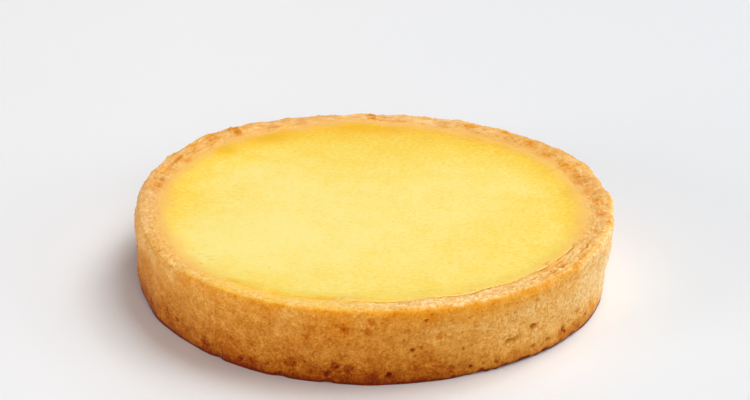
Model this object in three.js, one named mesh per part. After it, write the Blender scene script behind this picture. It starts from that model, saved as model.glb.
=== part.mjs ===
// A lemon tartlet: a round, shallow case of shortcrust pastry with a thick uneven rim, and the set lemon
// filling that lies in it almost level with the brim.
// Millimetres, +Z up. The origin is the middle of the flat underside.

import * as THREE from 'three';
import { ImprovedNoise } from 'three/addons/math/ImprovedNoise.js';
import { mergeVertices } from 'three/addons/utils/BufferGeometryUtils.js';

const { degToRad, lerp, smoothstep } = THREE.MathUtils;

// Driving dimensions
const RIM_DIAMETER = 90; // over the rim, where the case is widest
const HEIGHT = 14.8; // underside to the crest of the rim
const WALL_LEAN = degToRad(5.2); // the wall leans out from the upright
const BASE_ROUND = 0.7; // outer corner at the foot of the wall
const SHOULDER_ROUND = 1.3; // outer corner of the rim
const RIM_FALL = degToRad(8); // the top of the rim falls gently inwards, down to the filling
const RIM_SLOPE = 4.3; // length of that fall
const LIP_ROUND = 1; // inner corner of the rim, at the edge of the filling
const FLOOR_THICKNESS = 4;
const CAVITY_ROUND = 2.5; // corner between the wall and the floor, inside
const FILLING_DROP = 0.7; // crest of the rim down to the edge of the filling
const FILLING_DISH = 0.3; // edge of the filling down to its middle
const DISH_POWER = 7; // the filling is level in the middle and climbs close to the edge
const FIT_GAP = 0.3; // clearance between the filling and the case
const SMOOTH_FOOT = 1.5; // the relief of the wall fades in over this height, so the underside stays flat
const WAVY_FROM = 0.4; // the waves of the crest start at this share of the height
const LEVEL_OUT_TO = 0.7; // and at this share of the lip's radius the filling is level again

// Low waves round the case: waves in a turn, height of the wave, angle of its crest
const BASE_WAVES = [[2, 0.06, degToRad(80)], [4, 0.12, degToRad(41)], [5, 0.25, degToRad(-31)]];
const RIM_WAVES = [[3, 0.4, degToRad(12)], [5, 0.06, degToRad(4)]];
const CREST_WAVES = [[3, 0.38, degToRad(26)], [4, 0.07, degToRad(42)], [11, 0.06, 0]];

// Crumbly relief of the baked outside: size of the lumps and how far they stand out
const CRUMBS = [[6.4, 0.45], [3, 0.26]];

// Dents in the wall: angle round the case, height above the underside, radius and depth
const DENTS = [
  [degToRad(-48), 9.8, 1.9, 0.5],
  [degToRad(-55), 8.4, 1.6, 0.4],
  [degToRad(-38), 3.1, 2.1, 0.45],
  [degToRad(-95), 1.4, 2, 0.45],
  [degToRad(-106), 2.2, 2.6, 0.55],
];

// Facets
const CASE_SEGMENTS = 160;
const FILLING_SEGMENTS = 96;
const WALL_STEPS = 10;
const CORNER_STEPS = 5;
const RIM_STEPS = 4;
const HIDDEN_STEPS = 2;
const TOP_RINGS = 8;

// Worked-out sizes
const RIM_RADIUS = RIM_DIAMETER / 2;
const SHOULDER_RADIUS = RIM_RADIUS - SHOULDER_ROUND;
const SHOULDER_HEIGHT = HEIGHT - SHOULDER_ROUND;
const RIM_NORMAL = Math.PI / 2 + RIM_FALL;
const LIP_RADIUS = SHOULDER_RADIUS - RIM_SLOPE * Math.cos(RIM_FALL)
  + (SHOULDER_ROUND - LIP_ROUND) * Math.cos(RIM_NORMAL);
const LIP_HEIGHT = SHOULDER_HEIGHT - RIM_SLOPE * Math.sin(RIM_FALL)
  + (SHOULDER_ROUND - LIP_ROUND) * Math.sin(RIM_NORMAL);
const FILLING_EDGE = HEIGHT - FILLING_DROP;
const noise = new ImprovedNoise();

// Radius of the outside of the wall at a height, before the corners are rounded
function wallRadius(height) {
  const shoulder = SHOULDER_RADIUS + SHOULDER_ROUND / Math.cos(WALL_LEAN);
  return shoulder - (SHOULDER_HEIGHT - height) * Math.tan(WALL_LEAN);
}

// Radius of the inside of the wall at a height, with the wall made thicker by an inset
function cavityRadius(height, inset) {
  const lip = LIP_RADIUS - (LIP_ROUND + inset) / Math.cos(WALL_LEAN);
  return lip - (LIP_HEIGHT - height) * Math.tan(WALL_LEAN);
}

function line(from, to) {
  return new THREE.LineCurve(from, to);
}

function arc(radius, height, size, from, to) {
  return new THREE.EllipseCurve(radius, height, size, size, from, to, to < from);
}

// Joins curves, each with its number of steps, into one list of profile points
function profile(stretches) {
  const points = [];
  for (const [curve, steps] of stretches) {
    points.push(...curve.getPoints(steps).slice(points.length ? 1 : 0));
  }
  return points;
}

// The corner inside the case, or the matching corner of what fills it
function cavityCorner(inset) {
  const size = CAVITY_ROUND - inset;
  const height = FLOOR_THICKNESS + CAVITY_ROUND;
  const radius = cavityRadius(height, inset) - size / Math.cos(WALL_LEAN);
  return arc(radius, height, size, -WALL_LEAN, -Math.PI / 2);
}

// Outline of the case from the middle of the underside, up the wall, over the rim and down to the floor
function caseProfile() {
  const footRadius = wallRadius(BASE_ROUND) - BASE_ROUND / Math.cos(WALL_LEAN);
  const foot = arc(footRadius, BASE_ROUND, BASE_ROUND, -Math.PI / 2, -WALL_LEAN);
  const shoulder = arc(SHOULDER_RADIUS, SHOULDER_HEIGHT, SHOULDER_ROUND, -WALL_LEAN, RIM_NORMAL);
  const lip = arc(LIP_RADIUS, LIP_HEIGHT, LIP_ROUND, RIM_NORMAL, Math.PI - WALL_LEAN);
  const corner = cavityCorner(0);
  const middle = new THREE.Vector2(0, 0);
  const floor = new THREE.Vector2(0, FLOOR_THICKNESS);
  return profile([
    [line(middle, foot.getPoint(0)), HIDDEN_STEPS],
    [foot, CORNER_STEPS],
    [line(foot.getPoint(1), shoulder.getPoint(0)), WALL_STEPS],
    [shoulder, CORNER_STEPS],
    [line(shoulder.getPoint(1), lip.getPoint(0)), RIM_STEPS],
    [lip, CORNER_STEPS],
    [line(lip.getPoint(1), corner.getPoint(0)), HIDDEN_STEPS],
    [corner, HIDDEN_STEPS],
    [line(corner.getPoint(1), floor), 1],
  ]);
}

// Outline of the filling from the middle of its underside, up the wall to its edge and over its dished top
function fillingProfile() {
  const corner = cavityCorner(FIT_GAP);
  const size = LIP_ROUND + FIT_GAP;
  const edgeAngle = Math.PI - Math.asin((FILLING_EDGE - LIP_HEIGHT) / size);
  const lip = arc(LIP_RADIUS, LIP_HEIGHT, size, Math.PI - WALL_LEAN, edgeAngle);
  const edge = lip.getPoint(1);
  const points = profile([
    [line(new THREE.Vector2(0, FLOOR_THICKNESS + FIT_GAP), corner.getPoint(1)), 1],
    [arc(corner.aX, corner.aY, corner.xRadius, -Math.PI / 2, -WALL_LEAN), HIDDEN_STEPS],
    [line(corner.getPoint(0), lip.getPoint(0)), HIDDEN_STEPS],
    [lip, HIDDEN_STEPS],
  ]);
  for (let ring = 1; ring <= TOP_RINGS; ring += 1) {
    const share = 1 - (ring / TOP_RINGS) ** 2;
    const height = FILLING_EDGE - FILLING_DISH * (1 - share ** DISH_POWER);
    points.push(new THREE.Vector2(edge.x * share, height));
  }
  return points;
}

function wave(waves, angle) {
  return waves.reduce((sum, [count, size, crest]) => sum + size * Math.cos(count * (angle - crest)), 0);
}

// Depth of the dents at a place on the wall
function dentDepth(angle, height) {
  let depth = 0;
  for (const [dentAngle, dentHeight, size, deepest] of DENTS) {
    const turn = Math.atan2(Math.sin(angle - dentAngle), Math.cos(angle - dentAngle));
    const away = Math.hypot(turn * RIM_RADIUS, height - dentHeight) / size;
    depth += deepest * Math.exp(-away * away);
  }
  return depth;
}

// How far the baked outside stands out at a point: nothing on the underside and where the filling lies
function crumble(point, radius, angle) {
  const share = smoothstep(point.z, 0, SMOOTH_FOOT) * smoothstep(radius, LIP_RADIUS - LIP_ROUND, LIP_RADIUS);
  let height = 0;
  for (const [size, depth] of CRUMBS) {
    height += depth * noise.noise(point.x / size, point.y / size, point.z / size);
  }
  return share * (height - dentDepth(angle, point.z));
}

// Moves a point of the even shape to its place in the uneven one, the same way for the case and the filling
function uneven(point, radius, angle) {
  const up = point.z / HEIGHT;
  const outward = lerp(wave(BASE_WAVES, angle), wave(RIM_WAVES, angle), up) * radius / RIM_RADIUS;
  const nearRim = smoothstep(up, WAVY_FROM, 1)
    * smoothstep(radius, LEVEL_OUT_TO * LIP_RADIUS, LIP_RADIUS - LIP_ROUND);
  point.x += outward * Math.cos(angle);
  point.y += outward * Math.sin(angle);
  point.z += nearRim * wave(CREST_WAVES, angle);
}

// Turns a profile into an upright solid and makes it uneven, with a crumbly outside where it is baked
function turned(points, segments, baked) {
  const geometry = new THREE.LatheGeometry(points, segments).rotateX(Math.PI / 2);
  const place = geometry.getAttribute('position');
  const facing = geometry.getAttribute('normal');
  const point = new THREE.Vector3();
  const normal = new THREE.Vector3();
  for (let i = 0; i < place.count; i += 1) {
    point.fromBufferAttribute(place, i);
    normal.fromBufferAttribute(facing, i);
    const radius = Math.hypot(point.x, point.y);
    const angle = Math.atan2(point.y, point.x);
    const stand = baked ? crumble(point, radius, angle) : 0;
    uneven(point, radius, angle);
    point.addScaledVector(normal, stand);
    place.setXYZ(i, point.x, point.y, point.z);
  }
  geometry.deleteAttribute('normal');
  geometry.deleteAttribute('uv');
  const merged = mergeVertices(geometry);
  merged.computeVertexNormals();
  return merged;
}

function piece(name, geometry, colour, roughness) {
  const material = new THREE.MeshStandardMaterial({ color: colour, roughness, metalness: 0 });
  const mesh = new THREE.Mesh(geometry, material);
  mesh.name = name;
  return mesh;
}

const tartlet = new THREE.Group();
tartlet.add(piece('crust', turned(caseProfile(), CASE_SEGMENTS, true), '#dfa55c', 0.85));
tartlet.add(piece('filling', turned(fillingProfile(), FILLING_SEGMENTS, false), '#fbe06f', 0.35));

export default tartlet;
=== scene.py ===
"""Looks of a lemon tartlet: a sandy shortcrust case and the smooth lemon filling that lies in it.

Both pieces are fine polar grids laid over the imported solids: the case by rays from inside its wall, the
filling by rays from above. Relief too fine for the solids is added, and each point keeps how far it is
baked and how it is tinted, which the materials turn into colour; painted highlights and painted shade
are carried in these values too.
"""
import math
from types import SimpleNamespace

import bpy
import numpy as np
from mathutils import Matrix, Vector, noise
from mathutils.bvhtree import BVHTree


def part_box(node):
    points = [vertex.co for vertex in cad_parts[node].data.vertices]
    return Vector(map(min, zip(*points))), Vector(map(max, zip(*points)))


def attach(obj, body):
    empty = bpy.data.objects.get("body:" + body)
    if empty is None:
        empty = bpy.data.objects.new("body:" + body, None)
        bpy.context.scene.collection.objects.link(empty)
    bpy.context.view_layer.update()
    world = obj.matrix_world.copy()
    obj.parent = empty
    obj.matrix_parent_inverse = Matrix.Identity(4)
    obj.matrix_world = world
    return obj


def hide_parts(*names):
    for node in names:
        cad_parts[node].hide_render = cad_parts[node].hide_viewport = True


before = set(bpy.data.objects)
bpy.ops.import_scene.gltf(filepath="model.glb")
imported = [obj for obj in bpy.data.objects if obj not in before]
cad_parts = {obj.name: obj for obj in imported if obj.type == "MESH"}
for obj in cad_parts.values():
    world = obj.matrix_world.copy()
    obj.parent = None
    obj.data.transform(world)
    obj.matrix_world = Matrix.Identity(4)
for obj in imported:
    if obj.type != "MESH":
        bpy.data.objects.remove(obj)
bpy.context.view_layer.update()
MM = 0.001
SEED = 20

# Sizes taken from the frame, in metres
CRUST_LOW, CRUST_HIGH = (Vector(corner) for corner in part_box("crust"))
FILLING_LOW, FILLING_HIGH = (Vector(corner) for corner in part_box("filling"))
RIM_RADIUS = (CRUST_HIGH.x - CRUST_LOW.x) / 2
FILLING_RADIUS = (FILLING_HIGH.x - FILLING_LOW.x) / 2
HEIGHT = CRUST_HIGH.z
HALF_WALL = (RIM_RADIUS - FILLING_RADIUS) / 2

# The photograph's frame and where its camera stood, as fitted to the tartlet's outline
IMAGE_WIDTH = 750
SENSOR_WIDTH = 36
FOCAL_PIXELS = 2126
CAMERA_DISTANCE = 405 * MM
CAMERA_ELEVATION = math.radians(26.5)
CAMERA_ROLL = math.radians(0.43)
AIM_POINT = Vector((0.4 * MM, 0, 15 * MM))

# Studio: a floor, even light from all round, and soft lights at one distance, each with a bearing and a
# height in degrees, a size in metres, how brightly it lights the floor and how warm it is
FLOOR_SIZE = 6
WORLD_LEVEL = 0.17
LIGHT_DISTANCE = 3.2
LIGHTS = {
    "key": (26, 62, 2, 0.59, 0),
    "front": (-80, 32, 1.6, 0.15, 0),
    "left": (-152, 12, 1.2, 0.08, 0.2),
    "right": (-16, 22, 1.2, 0.065, 0),
    "back": (55, 36, 1.4, 0.12, 0),
}

# How much red, green and blue a fully warm light lacks
WARM_LOSS = (0, 0.3, 0.55)

# Grid of the case: columns round it, rows up the foot and the wall, over the rim and down inside
COLUMNS = 1000
FOOT_ROWS = 8
WALL_ROWS = 37
RIM_ROWS = 46
INNER_ROWS = 5
RIM_START = FOOT_ROWS + WALL_ROWS

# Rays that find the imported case: the radius and the lowest and highest place that they start from, and
# the steepest at the foot and over the rim
RAY_RADIUS = RIM_RADIUS - HALF_WALL - 0.5 * MM
RAY_LOW = 1.8 * MM
RAY_HIGH = HEIGHT - HALF_WALL - 0.9 * MM
FOOT_STEEP = -math.pi / 3
RIM_STEEP = 0.76 * math.pi

# Grid of the filling: one sector for two columns of the case, rings from a first share of the way out,
# and how far its edge runs under the case's surface
SECTORS = COLUMNS // 2
RINGS = 120
FIRST_RING = 0.02
OVERLAP = 0.8 * MM

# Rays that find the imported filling: how far below its top they find its edge, and the share of its
# radius seen from above
EDGE_DEPTH = 1.2 * MM
SEEN_SHARE = 0.975

# How far facets and steps are smoothed away, in columns and rows of the grids
CASE_BLUR = (3.2, 0.8)
TOP_BLUR = (5, 2)
EDGE_BLUR = 10
SHORE_BLUR = 20
CORNER_BLUR = 4

# Where the filling meets the rim: angle in degrees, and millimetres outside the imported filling
SHORE = [
    (-180, 1.8), (-160, 2.1), (-140, 3.2), (-115, 3.1), (-98, 2.5), (-85, 2.1), (-67, 2), (-42, 2.1),
    (-20, 1.8), (0, 1.4), (20, 1.1), (45, 1.2), (65, 1.6), (92, 2), (112, 1.9), (130, 1.3), (150, 1.9),
    (165, 1.9),
]

# How far the crust is baked, from 0 for pale to 1 for dark brown: up the wall by shares of its height,
# and over the rim by shares of the way out from the filling
# The darkest bake at the very foot is partly painted contact shadow
WALL_BAKE = [
    (0, 0.95), (0.03, 0.84), (0.1, 0.765), (0.22, 0.7), (0.45, 0.602), (0.7, 0.57), (0.88, 0.535),
    (0.95, 0.47),
]
RIM_BAKE = [(0, 0.38), (0.2, 0.35), (0.5, 0.33), (0.8, 0.35), (1, 0.45)]

# Parts of the case that differ: centre and half width in degrees
WRINKLED = [(8, 16), (172, 14)]
STAINED_SHOULDER = [(-92, 40), (-150, 25)]
# Painted highlight: the front of the rim is made paler where light glances off it
PAINTED_HIGHLIGHT_RIM = [(-85, 25)]
BROWN_RIM = [(135, 30), (112, 16), (45, 25), (-38, 20)]
RIDGED_RIM = [(-68, 20), (-35, 24), (65, 25), (105, 25), (148, 22)]
GLAZED_RIM = [(-122, 13), (-106, 14)]
PALE_WALL = [(-48, 24), (-25, 22), (-8, 22)]
# Paler crust with a painted highlight where the light grazes the right side of the wall
PALEST_WALL_AND_HIGHLIGHT = [(-5, 26)]
# Painted highlight: the upper left shoulder is made paler and peach where light grazes it
PAINTED_HIGHLIGHT_SHOULDER = [(-168, 25)]
ROUNDED_SHOULDER = [(-152, 26)]
BROWN_WALL = [(-90, 20)]
AMBER_WALL = [(-65, 16)]
PALE_FOOT = [(-56, 17)]
UNDERCUT_FOOT = [(-56, 14)]
SMOOTH_RIM = [(90, 60)]
PEACH_RIM = [(105, 40), (178, 18), (6, 14)]

# How much more or less those parts are baked, each in one zone of the case; the paler front rim and left
# shoulder are painted highlights, and the palest right wall partly so
BAKED_AND_HIGHLIT_PARTS = [
    (BROWN_WALL, "wall", 0.03),
    (AMBER_WALL, "upper", 0.03),
    (PAINTED_HIGHLIGHT_SHOULDER, "upper", -0.25),
    (PALE_WALL, "high", -0.12),
    (PALE_WALL, "off foot", -0.2),
    (PALEST_WALL_AND_HIGHLIGHT, "high", -0.26),
    (PALEST_WALL_AND_HIGHLIGHT, "low", -0.36),
    (PALE_FOOT, "foot", -0.13),
    (BROWN_RIM, "top", 0.08),
    (PAINTED_HIGHLIGHT_RIM, "top", -0.06),
]

# Deep and shallow hollows in the wall: angle in degrees, height, half width and half height in millimetres
CRAGS = [
    (-50.3, 6.7, 0.9, 0.8), (-56.7, 5.2, 1.4, 0.6), (-38.8, 2.6, 1, 1), (-29.4, 2.4, 1.1, 0.8),
    (-26, 3.8, 1, 0.7), (-44.7, 2.4, 1, 0.6), (-33.5, 4.6, 0.6, 0.5), (-143, 3.4, 0.7, 0.5),
]
PINHOLES = [
    (-50, 2.4, 0.5, 0.35), (-47.2, 2, 0.6, 0.3), (-69.3, 6.1, 0.35, 0.35), (-66.8, 1.9, 0.5, 0.35),
    (-60.2, 1.2, 0.6, 0.35), (-50, 11.8, 0.35, 0.35), (-56.6, 10.7, 0.35, 0.35), (-56, 13.1, 0.3, 0.3),
    (-81, 6.8, 0.4, 0.4), (-79, 7.3, 0.3, 0.3), (-78.1, 13.6, 0.35, 0.35), (-103, 5.9, 0.3, 0.3),
    (-100, 1.2, 0.6, 0.4), (-86, 2.1, 0.6, 0.4), (-97.5, 3.2, 0.5, 0.45), (-121, 1.6, 0.6, 0.4),
]

# Reddish brown stains on the wall: angle in degrees, height and radius in millimetres
WALL_STAINS = [
    (-98.2, 3.4, 1.1), (-95.3, 3.3, 1), (-89.5, 2.1, 1.1), (-85.6, 2, 1), (-108.5, 3.4, 1.2), (-100, 0.9, 1),
    (-96, 11.4, 0.9), (-91, 10.7, 1), (-90, 13.5, 0.7), (-104.5, 9.3, 0.6), (-118, 2.5, 1.2), (-132, 2, 1.3),
    (-147, 3.5, 1.4), (-156, 2.4, 1.2), (-72, 2, 0.8), (-75, 9, 0.8),
    (-40, 1.2, 1.2), (-33, 1.6, 1.3), (-25, 2.6, 1.2),
]

# Notches in the foot of the wall: angle in degrees and half width in millimetres
NOTCHES = [
    (-52.5, 1.6), (-45.9, 1.4), (-57.8, 1), (-64.2, 0.8), (-35, 1.2), (-100, 0.9), (-111, 1.2), (-128, 1),
]

# How far the foot is set back in millimetres: all round, in notches and where it is undercut
SET_BACK = 0.15
NOTCH_DEPTH = 0.4
UNDERCUT_DEPTH = 0.8

# The dark line at the foot, partly browned edge and partly painted contact shadow, in millimetres: height,
# waver, rise in notches and limits
LINE_HEIGHT = 0.3
LINE_WAVER = 0.25
LINE_RISE = 0.6
LINE_LIMITS = (0.1, 1.1)

# Thin grooves across the rim: angle in degrees, first and last distance out from the filling in millimetres
WRINKLES = [
    (12, 1.5, 4.2), (8, 2, 5), (3.5, 1.2, 4.8), (-0.5, 2.4, 5.2), (-5, 1.5, 4.5), (-10, 2.6, 5),
    (-16, 1.8, 4.4), (152, 2.2, 4.6), (160, 1.6, 4.8), (167, 1.2, 3.8), (173, 2, 5.4), (178, 1.4, 4),
    (-176, 2.4, 5.4),
]

# Amber patches on the rim: angle in degrees, distance out and radius in millimetres, and how much longer
# than wide they are
RIM_PATCHES = [
    (170, 1.2, 2.4), (161, 1.6, 2.2), (153, 1.6, 1.8), (145, 3.2, 1.7), (138, 2.6, 1.8), (127, 2.6, 1.2),
    (62, 2.6, 1.8), (52, 2.8, 1.8), (42, 2.2, 1.8), (33, 1, 1.8), (24, 1, 2), (16, 1, 2.2), (8, 1.1, 2.4),
    (1, 1.8, 1.4), (-5, 2.6, 1.2),
]
PATCH_STRETCH = 1.4

# Brown knobs on the rim: angle in degrees, distance out, half width and half length in millimetres
KNOBS = [(130.5, 2.4, 1.5, 2.2), (90.5, 2.4, 1.7, 1.5)]

# Cracks over the rim: first and last angle in degrees, first and last distance out in millimetres
CRACKS = [(-28, -23, 1.6, 4), (-44, -40, 2.4, 2.8), (-43, -37, 1.8, 2.5)]

# Where the filling has shrunk from the case and a thin gap shows: first and last angle in degrees
GAPS = [(-97, -83), (-76, -52), (-56, -38), (-36, -24)]

# Half widths of thin lines, and how far out from the filling's edge the gap lies
CRACK_WIDTH = 0.18 * MM
WRINKLE_WIDTH = 0.35 * MM
GAP_WIDTH = 0.22 * MM
GAP_OUT = 0.2 * MM

# Where pale crumbs lie on the rim: first and last angle in degrees
CRUMBS = [(-48, -14), (-162, -98)]

# Spots scattered at random: how many, and their smallest and largest size in millimetres
PITS = (320, 0.14, 0.36)
GRIT = (700, 0.2, 0.5)
SPECKS = (90, 0.2, 0.45)

# Rows of the wall and the rim that spots lie in, and how far a spot reaches in times its size
WALL_SPOT_ROWS = (FOOT_ROWS // 2, RIM_START + 8)
RIM_SPOT_ROWS = (RIM_START + 10, RIM_START + 32)
SPOT_REACH = 2.5

# Noise in the baked surface: sizes of lumps, of streaks along and across, and of grains in millimetres
LUMPS = {"broad": 2.4, "wide": 6, "fine": 0.5, "torn": 1.3}
STREAKS = {"along": (3, 0.7), "across": (0.8, 3), "folds": (6, 0.8)}
GRAIN_SIZE = 0.8

# How far each kind of mark stands out in millimetres, and how deep seams between grains and gaps are
RELIEF = {
    "broad": 0.11, "grain": 0.2, "fine": 0.1, "flakes": 0.08, "puckers": 0.15, "ridges": 0.16,
    "grit": 0.1, "specks": 0.2, "knobs": 0.45, "pits": -0.2, "crags": -0.85, "pinholes": -0.45,
    "red": -0.08, "stains": -0.1, "cracks": -0.35, "wrinkles": -0.3,
}
SEAM_DEPTH = 0.08
GAP_DEPTH = 0.3

# Share of the relief left at the filling's edge, and how far from it all of it is there
EDGE_RELIEF = 0.12
CALM_WIDTH = 1.4 * MM

# The rounder shoulder: how much is cut off it in millimetres, and half the width of the cut
SHOULDER_CUT = 0.8
SHOULDER_WIDTH = 1.7 * MM

# How much further marks, seams between grains and streaks off the filling's edge are baked; in the sunken
# pits, crags, pinholes, cracks, wrinkles, gap and foot line the darker colour is partly painted shade
MARK_BAKE_AND_SHADE = {
    "wide": 0.06, "broad": 0.07, "grain": -0.08, "pits": 0.12, "grit": -0.08, "specks": -0.15,
    "crags": 0.22, "pinholes": 0.24, "red": 0.13, "stains": 0.16, "knobs": 0.28, "cracks": 0.35,
    "wrinkles": 0.1, "gap": 0.6, "browned and shaded foot line": 0.5,
}
SEAM_BAKE = 0.036
STREAK_BAKE = {"streaky": 0.08, "puckers": 0.1, "ridges": -0.15}

# How amber each kind of mark is, and the most amber slope of the shoulder and its spread in degrees
AMBER = {"stains": 0.9, "crags": 0.1, "red": 0.5, "knobs": 0.6, "ridges": -0.2}
AMBER_SLOPE = 52
AMBER_SPREAD = 36

# How far out the rim is soaked and glazed, and how much less sandy the smooth rim is
SOAKED_WIDTH = 1.1 * MM
GLAZED_WIDTH = 1.2 * MM
SMOOTHNESS = 0.55

# Edge of the filling: where it deepens, where it is clean, and where it is golden brown just inside it,
# as centre and half width in degrees
DEEP_EDGE = [(178, 20), (135, 25), (90, 35), (45, 25), (2, 22)]
CLEAN_EDGE = [(-75, 35)]
GOLDEN_EDGE = [(140, 3.5), (123, 9), (93, 11)]

# How far in from its edge the filling climbs, deepens and is tinted, and where it is most golden
CLIMB_WIDTH = 4 * MM
DEEP_WIDTH = 4.5 * MM
GLAZE_WIDTH = 1.6 * MM
EDGE_WIDTH = 1.8 * MM
GOLDEN_WIDTH = 2 * MM
GOLDEN_INWARD = 2.1 * MM

# How steeply the filling's edge dips under the case's surface: by the square of a millimetre, and at gaps
EDGE_DIP = 1.6
GAP_DIP = 2.5

# How far the filling's hidden lower edge stays inside its packed edge and above its underside
BASE_INSET = 1.2 * MM
BASE_LIFT = 0.1 * MM

# Low waves in the filling's top: size and height in millimetres
WAVES = [(9, 0.04), (1.6, 0.015)]

# Small pocks in the filling, with painted shade: places, half width, half length and depth in millimetres
POCKS = [(-32.5, -19.3), (-30.8, -20.8), (-29.2, -21.9), (-28.6, -23.2)]
POCK_WIDTH = 0.7
POCK_LENGTH = 0.17
POCK_DEPTH = 0.03

# How warm the filling's yellow is: everywhere, towards the back and the front, at the edge and where that
# deepens, and where the glazed rim begins; the rise towards the back is partly a painted sheen that leaves
# the middle paler
EVEN_WARMTH = 0.03
BACK_WARMTH_AND_SHEEN = 0.31
FRONT_WARMTH = 0.12
EDGE_WARMTH = 0.15
DEEP_WARMTH = 0.6
GLAZE_WARMTH = 0.55

# Deeper and paler places in the filling: across, along and radius in millimetres, and how much
TONES = [
    (26, -13, 13, 0.13), (-22, -17, 16, -0.15), (-24, 16, 14, -0.2), (24, 16, 14, -0.1),
    (22, -25, 9, -0.05), (-27, 4, 10, 0.12), (33, 0, 9, 0.07),
]

# Places on the maps: strips for the case's skin, and the middle and radius of each disc
STRIPS = 3
STRIP_HEIGHT = 0.225
STRIP_GAP = 0.005
UNDERSIDE_DISC = ((0.15, 0.85), 0.145)
FLOOR_DISC = ((0.35, 0.85), 0.04)
TOP_DISC = (0.5, 0.495)
HIDDEN_DISC = (0.06, 0.05)

# Display colours of the crust by how far it is baked, of the filling by how warm it is, and of the floor,
# whose darker right side is painted shade
TAN = [
    (0.0, (254, 230, 178)), (0.15, (250, 214, 150)), (0.3, (243, 193, 116)),
    (0.42, (235, 177, 92)), (0.52, (223, 158, 70)), (0.62, (205, 134, 47)),
    (0.75, (178, 100, 18)), (0.88, (138, 56, 6)), (1.0, (112, 34, 3)),
]
AMBER_TAN = [
    (0.0, (252, 206, 122)), (0.3, (244, 174, 66)), (0.5, (237, 157, 38)),
    (0.65, (213, 125, 23)), (0.8, (176, 78, 6)), (1.0, (112, 34, 3)),
]
YELLOW = [
    (0.0, (255, 236, 150)), (0.2, (255, 231, 133)), (0.4, (254, 220, 97)),
    (0.6, (253, 209, 70)), (0.8, (251, 198, 62)), (1.0, (246, 184, 52)),
]
FLOOR_TONES_AND_SHADE = [(0.0, (238, 238, 239)), (1.0, (228, 230, 233))]

# Tints over those: the value that each goes by, its strength and its display colour
SOAKED = (252, 197, 102)
CRUST_TINTS = [
    ("peach", 0.45, (222, 170, 122)),
    ("glazed", 0.85, (250, 204, 78)),
    ("soaked", 0.6, SOAKED),
]
FILLING_TINTS = [
    ("edge", 0.9, SOAKED),
    ("golden", 0.8, (240, 181, 24)),
    ("pocked_and_shaded", 0.45, (212, 166, 50)),
]


def linear(red, green, blue):
    """A display colour of 0 to 255 as a linear colour with full alpha."""
    share = [value / 255 for value in (red, green, blue)]
    return tuple(c / 12.92 if c <= 0.04045 else ((c + 0.055) / 1.055) ** 2.4 for c in share) + (1.0,)


def smooth_step(values, low, high):
    """0 below low, 1 above high and a smooth rise between, also for low above high."""
    share = np.clip((values - low) / (high - low), 0, 1)
    return share * share * (3 - 2 * share)


def bell(values, width):
    """1 at 0, falling away smoothly on both sides over a width."""
    return np.exp(-(values / width) ** 2)


def blur(grid, sigma, axis):
    """Gaussian blur of a grid along its columns, which go round (axis 1), or its rows (axis 0)."""
    reach = int(math.ceil(3 * sigma))
    steps = np.arange(-reach, reach + 1)
    weights = np.exp(-0.5 * (steps / sigma) ** 2)
    weights /= weights.sum()
    padding = [(0, 0), (0, 0)]
    padding[axis] = (reach, reach)
    padded = np.pad(grid, padding, mode="wrap" if axis else "edge")
    size = grid.shape[axis]
    result = np.zeros_like(grid)
    for step, weight in zip(steps, weights):
        start = step + reach
        result += weight * np.take(padded, range(start, start + size), axis=axis)
    return result


def blur_round(ring, sigma):
    """Gaussian blur of values round the tartlet."""
    return blur(ring[None], sigma, axis=1)[0]


def lumps(points, size):
    """Noise of about -1 to 1 at points given in metres, with lumps of a size in metres."""
    scaled = (points.reshape(-1, 3) / size).tolist()
    values = [noise.fractal(point, 0.9, 2.1, 2) for point in scaled]
    return np.array(values).reshape(points.shape[:-1])


def grains(points, size):
    """Rounded grains packed together, 1 at their middles and 0 in the seams between them."""
    scaled = (points.reshape(-1, 3) / size).tolist()
    values = []
    for point in scaled:
        near = noise.voronoi(point)[0]
        values.append(near[1] - near[0])
    return np.clip(np.array(values).reshape(points.shape[:-1]), 0, 1)


def search_tree(node):
    """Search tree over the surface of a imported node."""
    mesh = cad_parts[node].data
    corners = [vertex.co for vertex in mesh.vertices]
    faces = [tuple(face.vertices) for face in mesh.polygons]
    return BVHTree.FromPolygons(corners, faces)


def turn_from(angles, centre):
    """Turn from a centre in degrees to angles, in radians and the short way."""
    turn = angles - math.radians(centre)
    return np.arctan2(np.sin(turn), np.cos(turn))


def patches(angles, parts):
    """Sum of soft patches, each a centre and half width in degrees."""
    total = np.zeros_like(angles)
    for centre, half_width in parts:
        total += bell(turn_from(angles, centre), math.radians(half_width))
    return np.minimum(total, 1)


def stretch(angles, first, last):
    """1 between two angles in degrees, fading out at both ends."""
    half = math.radians(last - first) / 2
    return smooth_step(np.abs(turn_from(angles, (first + last) / 2)), half, 0.6 * half)


def weighted(marks, weights):
    """Sum of named fields of marks, each times its weight."""
    return sum(weight * marks[name] for name, weight in weights.items())


def ring_grid(rows, columns):
    """Rows and unwrapped columns of the corners of all quads of a grid whose columns go round."""
    row, column = np.meshgrid(np.arange(rows - 1), np.arange(columns), indexing="ij")
    corner_rows = np.stack([row, row, row + 1, row + 1], axis=-1).reshape(-1, 4)
    corner_columns = np.stack([column, column + 1, column + 1, column], axis=-1).reshape(-1, 4)
    return corner_rows, corner_columns


def closed_grid(points, middles):
    """Corners and faces of a grid whose columns go round, closed by a fan at each end."""
    rows, columns = points.shape[:2]
    corners = np.concatenate([points.reshape(-1, 3), middles])
    corner_rows, corner_columns = ring_grid(rows, columns)
    column = np.arange(columns)
    following = (column + 1) % columns
    first_middle = 0 * column + rows * columns
    last_row = (rows - 1) * columns
    faces = (corner_rows * columns + corner_columns % columns).tolist()
    faces += np.stack([first_middle, following, column], axis=-1).tolist()
    faces += np.stack([first_middle + 1, last_row + column, last_row + following], axis=-1).tolist()
    return corners, faces


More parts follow.
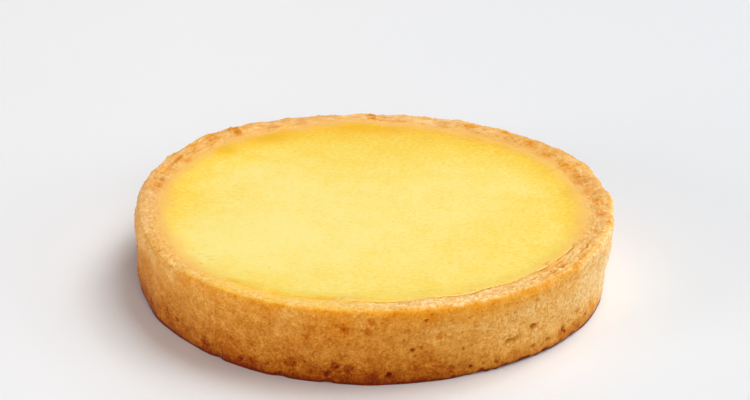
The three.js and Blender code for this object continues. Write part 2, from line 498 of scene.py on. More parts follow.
# The case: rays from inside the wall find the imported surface

def wall_rays():
    """Height of the start and steepness of each row's ray, from the foot over the rim."""
    def fan(height, first, last, count):
        return [(height, steep) for steep in np.linspace(first, last, count, endpoint=False)]

    foot = fan(RAY_LOW, FOOT_STEEP, 0, FOOT_ROWS)
    wall = [(height, 0.0) for height in np.linspace(RAY_LOW, RAY_HIGH, WALL_ROWS, endpoint=False)]
    rim = fan(RAY_HIGH, 0, RIM_STEEP, RIM_ROWS)
    lip = fan(RAY_HIGH, RIM_STEEP, math.pi, INNER_ROWS)
    inside = [(height, math.pi) for height in (RAY_HIGH, FILLING_LOW.z)]
    return foot + wall + rim + lip + inside


def case_surface(angles):
    """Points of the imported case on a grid, with its facets smoothed away."""
    tree = search_tree("crust")
    rays = wall_rays()
    reach = np.zeros((len(rays), COLUMNS))
    for row, (height, steep) in enumerate(rays):
        outward, upward = math.cos(steep), math.sin(steep)
        for column, angle in enumerate(angles):
            across, along = math.cos(angle), math.sin(angle)
            start = (RAY_RADIUS * across, RAY_RADIUS * along, height)
            direction = (outward * across, outward * along, upward)
            reach[row, column] = tree.ray_cast(start, direction)[3]
    reach = blur(blur(reach, CASE_BLUR[0], axis=1), CASE_BLUR[1], axis=0)
    heights, steeps = np.array(rays).T[..., None]
    radius = RAY_RADIUS + reach * np.cos(steeps)
    up = heights + reach * np.sin(steeps)
    return np.stack([radius * np.cos(angles), radius * np.sin(angles), np.maximum(up, 0)], axis=-1)


def grid_normals(points):
    """Outward unit normals of a grid whose columns go round."""
    along = np.roll(points, -1, axis=1) - np.roll(points, 1, axis=1)
    up = np.gradient(points, axis=0)
    normals = np.cross(along, up)
    return normals / np.maximum(np.linalg.norm(normals, axis=-1, keepdims=True), 1e-12)


def edge_radius(angles):
    """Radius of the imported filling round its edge, just below its top."""
    tree = search_tree("filling")
    found = []
    for angle in angles:
        outward = Vector((math.cos(angle), math.sin(angle), 0))
        start = 2 * RIM_RADIUS * outward + Vector((0, 0, FILLING_HIGH.z - EDGE_DEPTH))
        found.append(tree.ray_cast(start, -outward)[0].xy.length)
    return blur_round(np.array(found), EDGE_BLUR)


def ring_points(angles):
    """Points round the rim, for noise that depends on the angle only."""
    return np.stack([np.cos(angles), np.sin(angles), 0 * angles], axis=-1) * RIM_RADIUS


def shore_radius(angles):
    """Radius at which the filling meets the case, a slightly ragged line."""
    turns, offsets = zip(*SHORE)
    outside = blur_round(np.interp(np.degrees(angles), turns, offsets, period=360), SHORE_BLUR)
    ring = ring_points(angles)
    bays = (0.3 + 0.5 * patches(angles, GOLDEN_EDGE)) * lumps(ring, 5 * MM)
    nicks = 0.18 * lumps(ring, 1.5 * MM)
    return edge_radius(angles) + (outside + bays + nicks) * MM


def case_skin():
    """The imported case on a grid, with the measures that its finish depends on.

    Facing is 0 degrees on a wall and 90 on a rim, beyond is the distance out from the filling, path is
    the way up and over the rim, and up is a share of the height.
    """
    angles = np.linspace(0, 2 * math.pi, COLUMNS, endpoint=False)
    points = case_surface(angles)
    normals = grid_normals(points)
    outward = normals[..., 0] * np.cos(angles) + normals[..., 1] * np.sin(angles)
    facing = np.degrees(np.arctan2(normals[..., 2].mean(axis=1), outward.mean(axis=1)))[:, None]
    shore = shore_radius(angles)
    beyond = np.hypot(points[..., 0], points[..., 1]) - shore
    steps = np.linalg.norm(np.diff(points, axis=0), axis=-1).mean(axis=1)
    return SimpleNamespace(
        angles=angles, points=points, normals=normals, facing=facing, shore=shore, beyond=beyond,
        ring=ring_points(angles),
        path=np.concatenate([[0], np.cumsum(steps)]),
        up=points[..., 2] / HEIGHT,
        wall=smooth_step(facing, 65, 35),
        top=smooth_step(facing, 35, 65),
        off_edge=smooth_step(beyond, 0, CALM_WIDTH),
    )


def case_zones(skin):
    """Zones of the case by name, 1 inside and fading out to 0."""
    low = smooth_step(skin.up, 0.85, 0.5) * skin.wall
    return {
        "wall": skin.wall,
        "top": skin.top,
        "low": low,
        "high": skin.wall - low,
        "off foot": low * smooth_step(skin.up, 0, 0.26),
        "upper": skin.wall * smooth_step(skin.up, 0.6, 0.92),
        "foot": smooth_step(skin.up, 0.19, 0.06),
    }


# Marks in the baked surface: fields on the grid of the case

def wall_way(skin, height):
    """Length of the way up the wall to a height."""
    rows = slice(FOOT_ROWS, RIM_START + 8)
    return np.interp(height, skin.points[rows, :, 2].mean(axis=1), skin.path[rows])


def rim_way(skin, beyond):
    """Length of the way up the wall and over the rim to a distance beyond the filling."""
    rows = slice(RIM_START + 12, RIM_START + RIM_ROWS)
    return np.interp(-beyond, -skin.beyond[rows].mean(axis=1), skin.path[rows])


def shoulder_way(skin):
    """Length of the way up the wall to the middle of the shoulder."""
    rows = slice(RIM_START, RIM_START + RIM_ROWS // 2)
    return np.interp(45, skin.facing[rows, 0], skin.path[rows])


def blots(skin, way_to, places, ragged, full):
    """Ragged marks on the wall or the rim, 1 in their middles and fully so to a share of their size.

    Each has an angle in degrees, a height or distance out, a half width and a half height in millimetres.
    """
    field = np.zeros_like(skin.up)
    for angle, far, wide, tall in places:
        sideways = turn_from(skin.angles, angle) * RIM_RADIUS / (wide * MM)
        upward = (skin.path - way_to(skin, far * MM)) / (tall * MM)
        away = np.hypot(sideways[None, :], upward[:, None])
        field = np.maximum(field, smooth_step(away + ragged, 1.1, full))
    return field


def spots(skin, rows, span, kind, rng):
    """Small soft spots at random over some rows and a span of angles in degrees, 1 in the middle."""
    count, small, large = kind
    field = np.zeros_like(skin.up)
    step = 2 * math.pi / COLUMNS * RIM_RADIUS
    for _ in range(count):
        way = skin.path[rng.integers(*rows)]
        column = int(rng.uniform(*span) / 360 * COLUMNS)
        size = (small + (large - small) * rng.random() ** 3) * MM
        strength = 0.35 + 0.65 * rng.random()
        reach = SPOT_REACH * size
        steps = np.arange(-math.ceil(reach / step), math.ceil(reach / step) + 1)
        near = np.nonzero(np.abs(skin.path - way) < reach)[0]
        away = ((steps * step)[None, :] ** 2 + (skin.path[near] - way)[:, None] ** 2) / size ** 2
        window = np.ix_(near, (column + steps) % COLUMNS)
        field[window] = np.maximum(field[window], strength * np.exp(-away))
    return field


def streaks(skin, along, across):
    """Noise drawn out along the rim or across it, with a size each way in metres."""
    round_rim = skin.angles + 0 * skin.path[:, None]
    up = skin.path[:, None] + 0 * skin.angles
    places = [np.cos(round_rim) * RIM_RADIUS / along, np.sin(round_rim) * RIM_RADIUS / along, up / across]
    return lumps(np.stack(places, axis=-1), 1)


def surface_noise(skin):
    """Lumps, grains and streaks of the surface, and flakes, puckers and ridges of the rim."""
    marks = {name: lumps(skin.points, size * MM) for name, size in LUMPS.items()}
    marks["grain"] = grains(skin.points, GRAIN_SIZE * MM)
    for name, (along, across) in STREAKS.items():
        marks[name] = streaks(skin, along * MM, across * MM)
    wrinkled = patches(skin.angles, WRINKLED) * skin.top
    marks["streaky"] = marks["along"] * skin.top
    marks["flakes"] = marks["streaky"] * (1 - wrinkled)
    marks["puckers"] = marks["across"] * wrinkled
    marks["ridges"] = (1 - 2.5 * np.abs(marks["folds"])) * patches(skin.angles, RIDGED_RIM) * skin.top
    return marks


def scattered_marks(skin):
    """Pits and grit all round the wall, and specks on the rim where crumbs lie."""
    rng = np.random.default_rng(SEED)
    all_round = (0, 360)
    return {
        "pits": spots(skin, WALL_SPOT_ROWS, all_round, PITS, rng),
        "grit": spots(skin, WALL_SPOT_ROWS, all_round, GRIT, rng),
        "specks": sum(spots(skin, RIM_SPOT_ROWS, span, SPECKS, rng) for span in CRUMBS),
    }


def placed_marks(skin, marks):
    """Hollows and stains of the wall, and stains and knobs of the rim, at their given places.

    Each kind also has how ragged it is, and the share of its size at which it has its full strength.
    """
    red = [(angle, up, size, size) for angle, up, size in WALL_STAINS]
    stains = [(angle, out, PATCH_STRETCH * size, size) for angle, out, size in RIM_PATCHES]
    kinds = {
        "crags": (wall_way, CRAGS, 0.9, 0.25),
        "pinholes": (wall_way, PINHOLES, 0.9, 0.3),
        "red": (wall_way, red, 1.3, 0.5),
        "stains": (rim_way, stains, 0.6, 0),
        "knobs": (rim_way, KNOBS, 0.5, 0.3),
    }
    torn = 0.5 * marks["torn"] + 0.6 * marks["fine"]
    placed = {}
    for name, (way_to, places, ragged, full) in kinds.items():
        placed[name] = blots(skin, way_to, places, ragged * torn, full)
    placed["stains"] *= 0.6 + 0.4 * smooth_step(marks["across"], -0.5, 0.5)
    return placed


def crack_lines(skin):
    """Thin wandering lines over the rim, 1 in their middles."""
    lines = np.zeros_like(skin.up)
    wander = 0.35 * MM * lumps(skin.ring, 1.5 * MM)
    for first, last, start, end in CRACKS:
        turn = np.degrees(turn_from(skin.angles, first))
        way = np.interp(turn, [0, last - first], [start * MM, end * MM])
        line = stretch(skin.angles, first, last) * bell(skin.beyond - way - wander, CRACK_WIDTH)
        lines = np.maximum(lines, line)
    return lines * skin.top


def wrinkle_lines(skin):
    """Thin grooves across the rim that waver a little, 1 in their middles."""
    lines = np.zeros_like(skin.up)
    waver = 0.3 * MM * lumps(skin.points, 2 * MM)
    for angle, start, end in WRINKLES:
        sideways = turn_from(skin.angles, angle) * RIM_RADIUS + waver
        reach = smooth_step(skin.beyond, (start - 0.5) * MM, (start + 0.5) * MM)
        reach *= smooth_step(skin.beyond, (end + 0.4) * MM, (end - 0.6) * MM)
        lines = np.maximum(lines, reach * bell(sideways, WRINKLE_WIDTH))
    return lines * skin.top


def shrunk_edge(angles):
    """1 where the filling has shrunk from the case, 0 elsewhere."""
    return np.max([stretch(angles, *span) for span in GAPS], axis=0)


def shaded_gap_line(skin):
    """The thin gap where the filling has shrunk from the rim, 1 in its middle; it is sunk, and darkened with
    painted shade.
    """
    broken = smooth_step(lumps(skin.ring, 2.5 * MM), -0.5, 0.2)
    return shrunk_edge(skin.angles) * broken * bell(skin.beyond - GAP_OUT, GAP_WIDTH) * skin.top


def foot_notches(skin):
    """Notches in the foot round the case, 1 in their middles."""
    turns = [turn_from(skin.angles, angle) * RIM_RADIUS / (wide * MM) for angle, wide in NOTCHES]
    return np.exp(-np.min(np.abs(turns), axis=0) ** 2)


def browned_and_shaded_foot_line(skin):
    """The dark line at the foot of the wall, which wavers and rises in notches, 1 in the line: partly
    browned edge, partly painted contact shadow and shade in the notches.
    """
    waver = LINE_WAVER * (lumps(skin.ring, 4 * MM) + lumps(skin.ring, 1.2 * MM))
    high = np.clip(LINE_HEIGHT + waver + LINE_RISE * foot_notches(skin), *LINE_LIMITS)
    return smooth_step(skin.points[..., 2], (high + 0.2) * MM, (high - 0.1) * MM)


def case_marks(skin):
    """All marks of the baked surface by name, most of them 1 in their middles."""
    marks = surface_noise(skin)
    marks.update(scattered_marks(skin))
    marks.update(placed_marks(skin, marks))
    marks["cracks"] = crack_lines(skin)
    marks["wrinkles"] = wrinkle_lines(skin)
    marks["gap"] = shaded_gap_line(skin)
    marks["browned and shaded foot line"] = browned_and_shaded_foot_line(skin)
    return marks


# Finish of the case: its relief, and the values that its material turns into colour

def case_relief(skin, marks):
    """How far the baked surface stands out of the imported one, in metres."""
    cut = bell(skin.path - shoulder_way(skin), SHOULDER_WIDTH)[:, None]
    relief = weighted(marks, RELIEF) - SEAM_DEPTH
    relief -= SHOULDER_CUT * cut * patches(skin.angles, ROUNDED_SHOULDER)
    foot = smooth_step(skin.points[..., 2], 0, 1 * MM)
    calmed = EDGE_RELIEF + (1 - EDGE_RELIEF) * skin.off_edge
    return (relief * foot * calmed - GAP_DEPTH * marks["gap"]) * MM


def settle(skin, points):
    """Sets the foot of the wall down on its corner, set back in notches and where it is undercut."""
    radius = np.hypot(points[..., 0], points[..., 1])
    uneven = np.clip(0.6 + lumps(skin.ring, 3 * MM), 0, 1)
    undercut = patches(skin.angles, UNDERCUT_FOOT) * uneven
    set_back = SET_BACK + NOTCH_DEPTH * foot_notches(skin) + UNDERCUT_DEPTH * undercut
    corner = blur_round(radius[FOOT_ROWS - 1], CORNER_BLUR) - set_back * MM
    foot = slice(2, FOOT_ROWS - 1)
    points[foot, :, :2] *= (np.maximum(radius[foot], corner) / radius[foot])[..., None]
    points[..., 2] = np.maximum(points[..., 2], 0)
    points[:3, :, 2] = 0


def case_bake_and_painted_light(skin, marks, zones):
    """How far each point is baked, from 0 for pale to 1 for dark brown, with painted highlights and painted
    shade in it.
    """
    heights, wall_bakes = zip(*WALL_BAKE)
    shares, rim_bakes = zip(*RIM_BAKE)
    out = skin.beyond / (RIM_RADIUS - skin.shore)
    bake_and_painted_light = skin.wall * np.interp(skin.up, heights, wall_bakes) + skin.top * np.interp(out, shares, rim_bakes)
    for parts, zone, change in BAKED_AND_HIGHLIT_PARTS:
        bake_and_painted_light += change * patches(skin.angles, parts) * zones[zone]
    bake_and_painted_light += weighted(marks, MARK_BAKE_AND_SHADE) + SEAM_BAKE
    bake_and_painted_light += weighted(marks, STREAK_BAKE) * skin.off_edge
    return np.clip(bake_and_painted_light, 0, 1)


def case_amber(skin, marks, zones):
    """How far each point is amber: on the shoulder, high on the wall and in some marks."""
    pale_wall = patches(skin.angles, PALE_WALL)
    # Less amber on the painted highlight of the left shoulder
    highlight_shoulder = patches(skin.angles, PAINTED_HIGHLIGHT_SHOULDER) * zones["upper"]
    amber = 0.8 * bell(skin.facing - AMBER_SLOPE, AMBER_SPREAD) * smooth_step(skin.up, 0.6, 0.8)
    amber *= 0.4 + 0.6 * patches(skin.angles, STAINED_SHOULDER)
    amber += (0.45 + 0.4 * marks["broad"]) * zones["upper"] * (1 - 0.5 * pale_wall)
    amber += 0.4 * marks["wide"] * skin.wall + 0.45 * patches(skin.angles, AMBER_WALL) * zones["upper"]
    amber *= (1 - 0.7 * pale_wall * zones["low"]) * (1 - 0.7 * highlight_shoulder)
    return np.clip(amber + weighted(marks, AMBER), 0, 1)


def case_peach(skin, marks, zones):
    """How far each point is peach: on parts of the rim, and as a painted highlight on the left shoulder,
    less in stains.
    """
    rim = patches(skin.angles, PEACH_RIM) * skin.top
    rim = rim * np.clip(0.6 + 0.7 * marks["wide"] + 0.4 * marks["along"], 0, 1)
    # Peach on the left shoulder is part of its painted highlight
    shoulder = 0.7 * patches(skin.angles, PAINTED_HIGHLIGHT_SHOULDER) * zones["upper"]
    return np.maximum(rim, shoulder) * (1 - marks["knobs"]) * (1 - 0.6 * marks["stains"])


def case_soaked(skin, marks):
    """How far each point is soaked with filling: a ragged band, fainter where the edge is clean."""
    away = np.maximum(skin.beyond - 0.6 * MM * (marks["broad"] + marks["fine"]), 0)
    clean = patches(skin.angles, CLEAN_EDGE + GLAZED_RIM)
    return bell(away, SOAKED_WIDTH) * skin.top * (1 - 0.8 * clean) * (1 - 0.8 * marks["stains"])


def case_glazed(skin, marks):
    """How far each point is glazed with a film of filling: in streaks, and fully by its edge."""
    film = np.maximum(np.clip(0.6 + 0.9 * marks["along"], 0, 1), bell(skin.beyond, GLAZED_WIDTH))
    return patches(skin.angles, GLAZED_RIM) * skin.top * film


def finished_case(skin):
    """Points of the finished case, and the values that colour them."""
    marks = case_marks(skin)
    zones = case_zones(skin)
    points = skin.points + skin.normals * case_relief(skin, marks)[..., None]
    settle(skin, points)
    values = {
        "bake_and_painted_light": case_bake_and_painted_light(skin, marks, zones),
        "amber": case_amber(skin, marks, zones),
        "soaked": case_soaked(skin, marks),
        "glazed": case_glazed(skin, marks),
        "peach": case_peach(skin, marks, zones),
        "sandy": 1 - SMOOTHNESS * patches(skin.angles, SMOOTH_RIM) * skin.top,
    }
    return points, values


def case_mesh(skin, points, values):
    """The case as one closed mesh: skin, underside and the floor under the filling."""
    corners, faces = closed_grid(points, [[0, 0, 0], [0, 0, FILLING_LOW.z]])
    values = {key: np.append(field, [0.5, 0]) for key, field in values.items()}
    return corners, faces, values, case_layout(skin)


def disc_layout(middle, size):
    """Places on the map of a fan: the middle, then two neighbours on the edge, turned round."""
    turns = np.arange(COLUMNS + 1) * 2 * math.pi / COLUMNS
    edge = np.stack([middle[0] + size * np.cos(turns), middle[1] + size * np.sin(turns)], axis=-1)
    centre = np.zeros_like(edge[1:]) + middle
    return np.stack([centre, edge[1:], edge[:-1]], axis=1)


def case_layout(skin):
    """Places on the map of all corners: the skin in strips, underside and floor as discs."""
    corner_rows, corner_columns = ring_grid(len(skin.path), COLUMNS)
    width = COLUMNS // STRIPS + 1
    strip = corner_columns[:, :1] // width
    across = (corner_columns - strip * width) / width
    up = STRIP_HEIGHT * (skin.path / skin.path[-1])[corner_rows]
    up += STRIP_GAP + strip * (STRIP_HEIGHT + STRIP_GAP)
    quads = np.stack([across, up], axis=-1)
    discs = [disc_layout(*disc) for disc in (UNDERSIDE_DISC, FLOOR_DISC)]
    return np.concatenate([part.reshape(-1, 2) for part in (quads, *discs)])


# The filling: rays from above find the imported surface

def packed_top(angles, shares):
    """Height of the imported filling's top at shares of the way out, with facets smoothed away."""
    tree = search_tree("filling")
    top = np.zeros((RINGS, SECTORS))
    for ring, share in enumerate(shares):
        radius = min(share * (FILLING_RADIUS + OVERLAP), SEEN_SHARE * FILLING_RADIUS)
        for sector, angle in enumerate(angles):
            start = (radius * math.cos(angle), radius * math.sin(angle), 2 * HEIGHT)
            top[ring, sector] = tree.ray_cast(start, (0, 0, -1))[0].z
    return blur(blur(top, TOP_BLUR[0], axis=1), TOP_BLUR[1], axis=0)


def shore_height(skin):
    """Height of the case where the filling meets it, for each sector."""
    rows = slice(RIM_START + RIM_ROWS // 3, RIM_START + RIM_ROWS + INNER_ROWS)
    heights = []
    for column in range(0, COLUMNS, COLUMNS // SECTORS):
        way = skin.points[rows, column][::-1]
        heights.append(np.interp(skin.shore[column], np.hypot(way[:, 0], way[:, 1]), way[:, 2]))
    return np.array(heights)


def filling_top(skin):
    """The filling's top on a grid of rings and sectors, with its low waves and pocks.

    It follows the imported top, climbs to the case at its edge and then dips under the case's surface.
    """
    angles = skin.angles[::COLUMNS // SECTORS]
    shore = skin.shore[::COLUMNS // SECTORS]
    shares = np.sin(np.linspace(FIRST_RING, 1, RINGS) * math.pi / 2)
    packed = packed_top(angles, shares)
    radius = shares[:, None] * (shore + OVERLAP)
    inward = shore - radius
    climb = smooth_step(inward, CLIMB_WIDTH, 0)
    under = np.maximum(-inward, 0)
    height = packed + (shore_height(skin) - packed) * climb
    height -= EDGE_DIP * under ** 2 / MM + GAP_DIP * under * shrunk_edge(angles)
    points = np.stack([radius * np.cos(angles), radius * np.sin(angles), height], axis=-1)
    across, along = points[..., 0] / MM, points[..., 1] / MM
    waves = sum(high * lumps(points, size * MM) for size, high in WAVES)
    pocks = sum(bell(across - x, POCK_WIDTH) * bell(along - y, POCK_LENGTH) for x, y in POCKS)
    points[..., 2] += ((1 - climb) * waves - POCK_DEPTH * pocks) * MM
    return SimpleNamespace(
        angles=angles, points=points, across=across, along=along, radius=radius, inward=inward, pocks=pocks)


def filling_warmth(top, uneven):
    """How warm the yellow of each point of the filling's top is; its rise towards the back is partly a
    painted sheen that leaves the middle paler.
    """
    north = top.points[..., 1] / FILLING_RADIUS
    edge = EDGE_WARMTH + DEEP_WARMTH * patches(top.angles, DEEP_EDGE)
    warm = EVEN_WARMTH + edge * np.exp(-np.maximum(top.inward, 0) / DEEP_WIDTH)
    warm += BACK_WARMTH_AND_SHEEN * smooth_step(north, -0.1, 1) + FRONT_WARMTH * smooth_step(-north, 0.2, 1)
    for across, along, size, change in TONES:
        warm += change * bell(np.hypot(top.across - across, top.along - along), size)
    glazed = patches(top.angles, GLAZED_RIM) * np.clip(0.7 + 1.2 * lumps(top.points, 4 * MM), 0, 1.2)
    return warm + GLAZE_WARMTH * glazed * bell(top.inward, GLAZE_WIDTH * uneven)


def filling_values(top):
    """The values that colour the filling's top."""
    uneven = 1 + 0.6 * lumps(top.points, 3 * MM)
    golden = patches(top.angles, GOLDEN_EDGE)
    clean = patches(top.angles, CLEAN_EDGE + GLAZED_RIM)
    edge = bell(np.maximum(top.inward, 0), EDGE_WIDTH * uneven * (1 - 0.6 * golden))
    return {
        "warm": filling_warmth(top, uneven),
        "edge": edge * (1 - 0.8 * clean),
        "golden": golden * bell(top.inward - GOLDEN_INWARD, GOLDEN_WIDTH * uneven),
        "pocked_and_shaded": top.pocks,
    }


def filling_mesh(skin):
    """The filling as one closed mesh: a dished top that ends on the rim, and plain sides."""
    top = filling_top(skin)
    low = top.points[-1].copy()
    low[:, :2] *= ((edge_radius(top.angles) - BASE_INSET) / top.radius[-1])[:, None]
    low[:, 2] = FILLING_LOW.z + BASE_LIFT
    middles = [[0, 0, low[0, 2]], [0, 0, top.points[0, :, 2].mean()]]
    corners, faces = closed_grid(np.concatenate([low[None], top.points[::-1]]), middles)
    values = {}
    for key, field in filling_values(top).items():
        values[key] = np.append(np.concatenate([field[-1:], field[::-1]]), [0, 0])
    return corners, faces, values, filling_layout(corners, faces)


def filling_layout(corners, faces):
    """Places on the map of all corners: the top as seen from above, what is hidden in a corner."""
    used = np.concatenate([np.array(face) for face in faces])
    seen = corners[used, :2] / (FILLING_RADIUS + OVERLAP)
    side, top, fan = 4 * SECTORS, 4 * SECTORS * (RINGS - 1), 3 * SECTORS
    hidden = np.repeat([True, False, True, False], [side, top, fan, fan])
    middle, size = TOP_DISC
    places = middle + size * seen
    middle, size = HIDDEN_DISC
    places[hidden] = middle + size * seen[hidden]
    return places


def add_piece(name, node, mesh_parts, material):
    """A smooth mesh object with values per point and a map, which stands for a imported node."""
    corners, faces, values, layout = mesh_parts
    mesh = bpy.data.meshes.new(name)
    mesh.from_pydata(corners.tolist(), [], faces)
    mesh.shade_smooth()
    for key, numbers in values.items():
        layer = mesh.attributes.new(key, "FLOAT", "POINT")
        layer.data.foreach_set("value", np.asarray(numbers, dtype=np.float32).ravel())
    mesh.uv_layers.new(name="OFBake").data.foreach_set("uv", layout.astype(np.float32).ravel())
    mesh.materials.append(material)
    mesh.update()
    piece = bpy.data.objects.new(name, mesh)
    bpy.context.scene.collection.objects.link(piece)
    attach(piece, "root")
    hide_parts(node)


# Materials

class Nodes:
    """Short ways to add and link the nodes of one material."""

    def __init__(self, name):
        self.material = bpy.data.materials.new(name)
        self.material.use_nodes = True
        self.tree = self.material.node_tree
        self.shader = self.tree.nodes["Principled BSDF"]

    def add(self, kind, inputs=None, **settings):
        node = self.tree.nodes.new(kind)
        for key, value in settings.items():
            setattr(node, key, value)
        for key, value in (inputs or {}).items():
            self.feed(node.inputs[key], value)
        return node

    def feed(self, socket, value):
        """Links a socket to an output, or sets it to a constant."""
        if isinstance(value, bpy.types.NodeSocket):
            self.tree.links.new(value, socket)
        else:
            socket.default_value = value

    def attribute(self, name):
        return self.add("ShaderNodeAttribute", attribute_name=name).outputs["Fac"]

    def place(self):
        return self.add("ShaderNodeTexCoord").outputs["Object"]

    def noise(self, size, detail=2.0, rough=0.55):
        inputs = {"Vector": self.place(), "Scale": 1 / size, "Detail": detail, "Roughness": rough}
        return self.add("ShaderNodeTexNoise", inputs).outputs["Fac"]

    def streaks(self, size, drawn):
        """Noise of a size, drawn out from side to side by a factor."""
        place = self.add("ShaderNodeMapping", {"Vector": self.place(), "Scale": (1 / drawn, 1, 1)})
        inputs = {"Vector": place.outputs["Vector"], "Scale": 1 / size, "Detail": 3.0}
        return self.add("ShaderNodeTexNoise", inputs).outputs["Fac"]

    def pores(self, size, share):
        """Small round dots in a share of the cells of a size, 1 in their middles."""
        cells = self.add("ShaderNodeTexVoronoi", {"Vector": self.place(), "Scale": 1 / size})
        dot = self.range(cells.outputs["Distance"], 1, 0, 0.1, 0.28)
        chosen = self.range(cells.outputs["Color"], 1, 0, share - 0.05, share + 0.05)
        return self.math("MULTIPLY", dot, chosen)

    def crumbs(self, size):
        """Crumbs of a size that differ in tone, about -1 to 1."""
        inputs = {"Vector": self.place(), "Scale": 1 / size, "Smoothness": 0.4}
        cells = self.add("ShaderNodeTexVoronoi", inputs, feature="SMOOTH_F1")
        return self.range(cells.outputs["Color"], -1, 1, 0.15, 0.85)

    def math(self, operation, first, second):
        node = self.add("ShaderNodeMath", operation=operation)
        self.feed(node.inputs[0], first)
        self.feed(node.inputs[1], second)
        return node.outputs[0]

    def mix(self, share, first, second):
        """A first colour mixed with a share of a second one."""
        node = self.add("ShaderNodeMix", data_type="RGBA")
        for socket, value in ((0, share), (6, first), (7, second)):
            self.feed(node.inputs[socket], value)
        return node.outputs[2]

    def tint(self, colour, tints):
        """A colour under tints, each a value to go by, a strength and a display colour."""
        for name, strength, tinted in tints:
            share = self.math("MULTIPLY", self.attribute(name), strength)
            colour = self.mix(share, colour, linear(*tinted))
        return colour

    def ramp(self, value, stops):
        """Colour for a value of 0 to 1, between stops with a display colour each."""
        node = self.add("ShaderNodeValToRGB", {"Fac": value})
        points = node.color_ramp.elements
        while len(points) < len(stops):
            points.new(0.5)
        for point, (position, colour) in zip(points, stops):
            point.position = position
            point.color = linear(*colour)
        return node.outputs["Color"]

    def range(self, value, low, high, start=0.0, end=1.0):
        """A value between start and end brought to low and high."""
        inputs = {"Value": value, "From Min": start, "From Max": end, "To Min": low, "To Max": high}
        return self.add("ShaderNodeMapRange", inputs).outputs["Result"]

    def bump(self, height, strength, distance):
        """Normal of a surface with bumps up to a distance high."""
        inputs = {"Height": height, "Strength": strength, "Distance": distance}
        return self.add("ShaderNodeBump", inputs).outputs["Normal"]

    def set(self, **values):
        for key, value in values.items():
            self.feed(self.shader.inputs[key.replace("_", " ")], value)


def crust_material():
    """Baked shortcrust: sandy, matte, and tan or amber, from cream to brown as it is baked; painted
    highlights and painted shade come in with that value.
    """
    kit = Nodes("shortcrust")
    baked = kit.attribute("bake_and_painted_light")
    sand = kit.range(kit.noise(0.4 * MM, 4, 0.65), -1, 1)
    speckle = kit.math("ADD", sand, kit.math("MULTIPLY", kit.crumbs(0.65 * MM), 0.18))
    speckle = kit.math("MULTIPLY", speckle, kit.range(baked, 0.64, 0.22, 0.3, 0.56))
    # Pores are pressed in by the bump and darkened, the dark partly painted shade in them
    pores = kit.math("MAXIMUM", kit.pores(0.9 * MM, 0.25), kit.pores(1.7 * MM, 0.2))
    speckle = kit.math("ADD", speckle, kit.math("MULTIPLY", pores, 0.15))
    bake_and_painted_light = kit.math("ADD", baked, kit.math("MULTIPLY", speckle, kit.attribute("sandy")))
    colour = kit.mix(kit.attribute("amber"), kit.ramp(bake_and_painted_light, TAN), kit.ramp(bake_and_painted_light, AMBER_TAN))
    colour = kit.tint(colour, CRUST_TINTS)
    height = kit.math("SUBTRACT", kit.noise(0.25 * MM, 3), pores)
    normal = kit.bump(height, 0.7, 0.07 * MM)
    rough = kit.range(kit.noise(1.5 * MM), 0.5, 0.75)
    kit.set(Base_Color=colour, Roughness=rough, Normal=normal, Specular_IOR_Level=0.05)
    kit.set(Subsurface_Weight=0.08, Subsurface_Scale=0.8 * MM, Subsurface_Radius=(1.0, 0.5, 0.2))
    kit.set(Sheen_Weight=0.12, Sheen_Roughness=0.4, Sheen_Tint=(1, 0.9, 0.75, 1))
    return kit.material


def filling_material():
    """Set lemon curd: mottled yellow, the warmer the deeper, with a soaked and partly golden edge."""
    kit = Nodes("lemon_curd")
    mottle = kit.range(kit.noise(6 * MM, 8, 0.75), -0.36, 0.36)
    fine = kit.range(kit.streaks(0.42 * MM, 2), -0.35, 0.35)
    fine = kit.math("MULTIPLY", fine, kit.range(kit.attribute("warm"), 1, 2.3, 0.1, 0.5))
    pores = kit.pores(1.2 * MM, 0.3)
    warm = kit.math("ADD", kit.attribute("warm"), kit.math("ADD", mottle, fine))
    warm = kit.math("ADD", warm, kit.math("MULTIPLY", pores, 0.3))
    colour = kit.ramp(kit.range(warm, 0, 1, -0.25, 1), YELLOW)
    colour = kit.tint(colour, FILLING_TINTS)
    normal = kit.bump(kit.noise(0.8 * MM, 4, 0.6), 0.3, 0.06 * MM)
    rough = kit.range(kit.noise(4 * MM), 0.32, 0.44)
    kit.set(Base_Color=colour, Roughness=rough, Normal=normal, Specular_IOR_Level=0.3)
    kit.set(Subsurface_Weight=0.2, Subsurface_Scale=2 * MM, Subsurface_Radius=(1.0, 0.8, 0.3))
    return kit.material


def floor_material():
    """Plain pale floor, a little darker to the right with painted shade."""
    kit = Nodes("pale_floor")
    across = kit.add("ShaderNodeSeparateXYZ", {"Vector": kit.place()}).outputs["X"]
    tone = kit.ramp(kit.range(across, 0, 1, -RIM_RADIUS, 2 * RIM_RADIUS), FLOOR_TONES_AND_SHADE)
    kit.set(Base_Color=tone, Roughness=0.6)
    return kit.material


# Studio

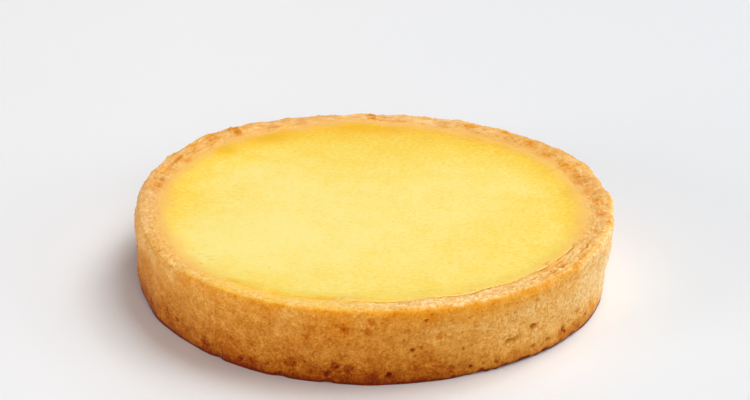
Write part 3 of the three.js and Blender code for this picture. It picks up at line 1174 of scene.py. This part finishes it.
def add_floor():
    bpy.ops.mesh.primitive_plane_add(size=FLOOR_SIZE)
    floor = bpy.context.object
    floor.name = "floor"
    floor.data.materials.append(floor_material())


def add_area(name, bearing, height, size, level, warmth):
    """A square soft light that faces the tartlet and lights the floor to a level."""
    turn, rise = math.radians(bearing), math.radians(height)
    way = Vector((math.cos(turn) * math.cos(rise), math.sin(turn) * math.cos(rise), math.sin(rise)))
    light = bpy.data.lights.new(name, "AREA")
    light.size = size
    light.energy = level * math.pi ** 2 * LIGHT_DISTANCE ** 2 / way.z
    light.color = [1 - loss * warmth for loss in WARM_LOSS]
    lamp = bpy.data.objects.new(name, light)
    lamp.location = LIGHT_DISTANCE * way
    lamp.rotation_euler = way.to_track_quat("Z", "Y").to_euler()
    bpy.context.scene.collection.objects.link(lamp)


def add_lights():
    world = bpy.data.worlds.new("studio")
    world.use_nodes = True
    inputs = world.node_tree.nodes["Background"].inputs
    inputs["Color"].default_value = (1, 1, 1, 1)
    inputs["Strength"].default_value = WORLD_LEVEL
    bpy.context.scene.world = world
    for name, settings in LIGHTS.items():
        add_area(name, *settings)


def add_camera():
    camera = bpy.data.cameras.new("camera")
    camera.sensor_width = SENSOR_WIDTH
    camera.lens = FOCAL_PIXELS / IMAGE_WIDTH * SENSOR_WIDTH
    eye = bpy.data.objects.new("camera", camera)
    back = Vector((0, -math.cos(CAMERA_ELEVATION), math.sin(CAMERA_ELEVATION)))
    eye.location = CAMERA_DISTANCE * back
    look = (AIM_POINT - eye.location).to_track_quat("-Z", "Y").to_matrix()
    eye.rotation_euler = (look @ Matrix.Rotation(CAMERA_ROLL, 3, "Z")).to_euler()
    bpy.context.scene.collection.objects.link(eye)
    bpy.context.scene.camera = eye


add_camera()
add_floor()
add_lights()
SKIN = case_skin()
CASE = finished_case(SKIN)
add_piece("crust_baked", "crust", case_mesh(SKIN, *CASE), crust_material())
add_piece("filling_set", "filling", filling_mesh(SKIN), filling_material())
bpy.context.scene.view_settings.view_transform = "Standard"
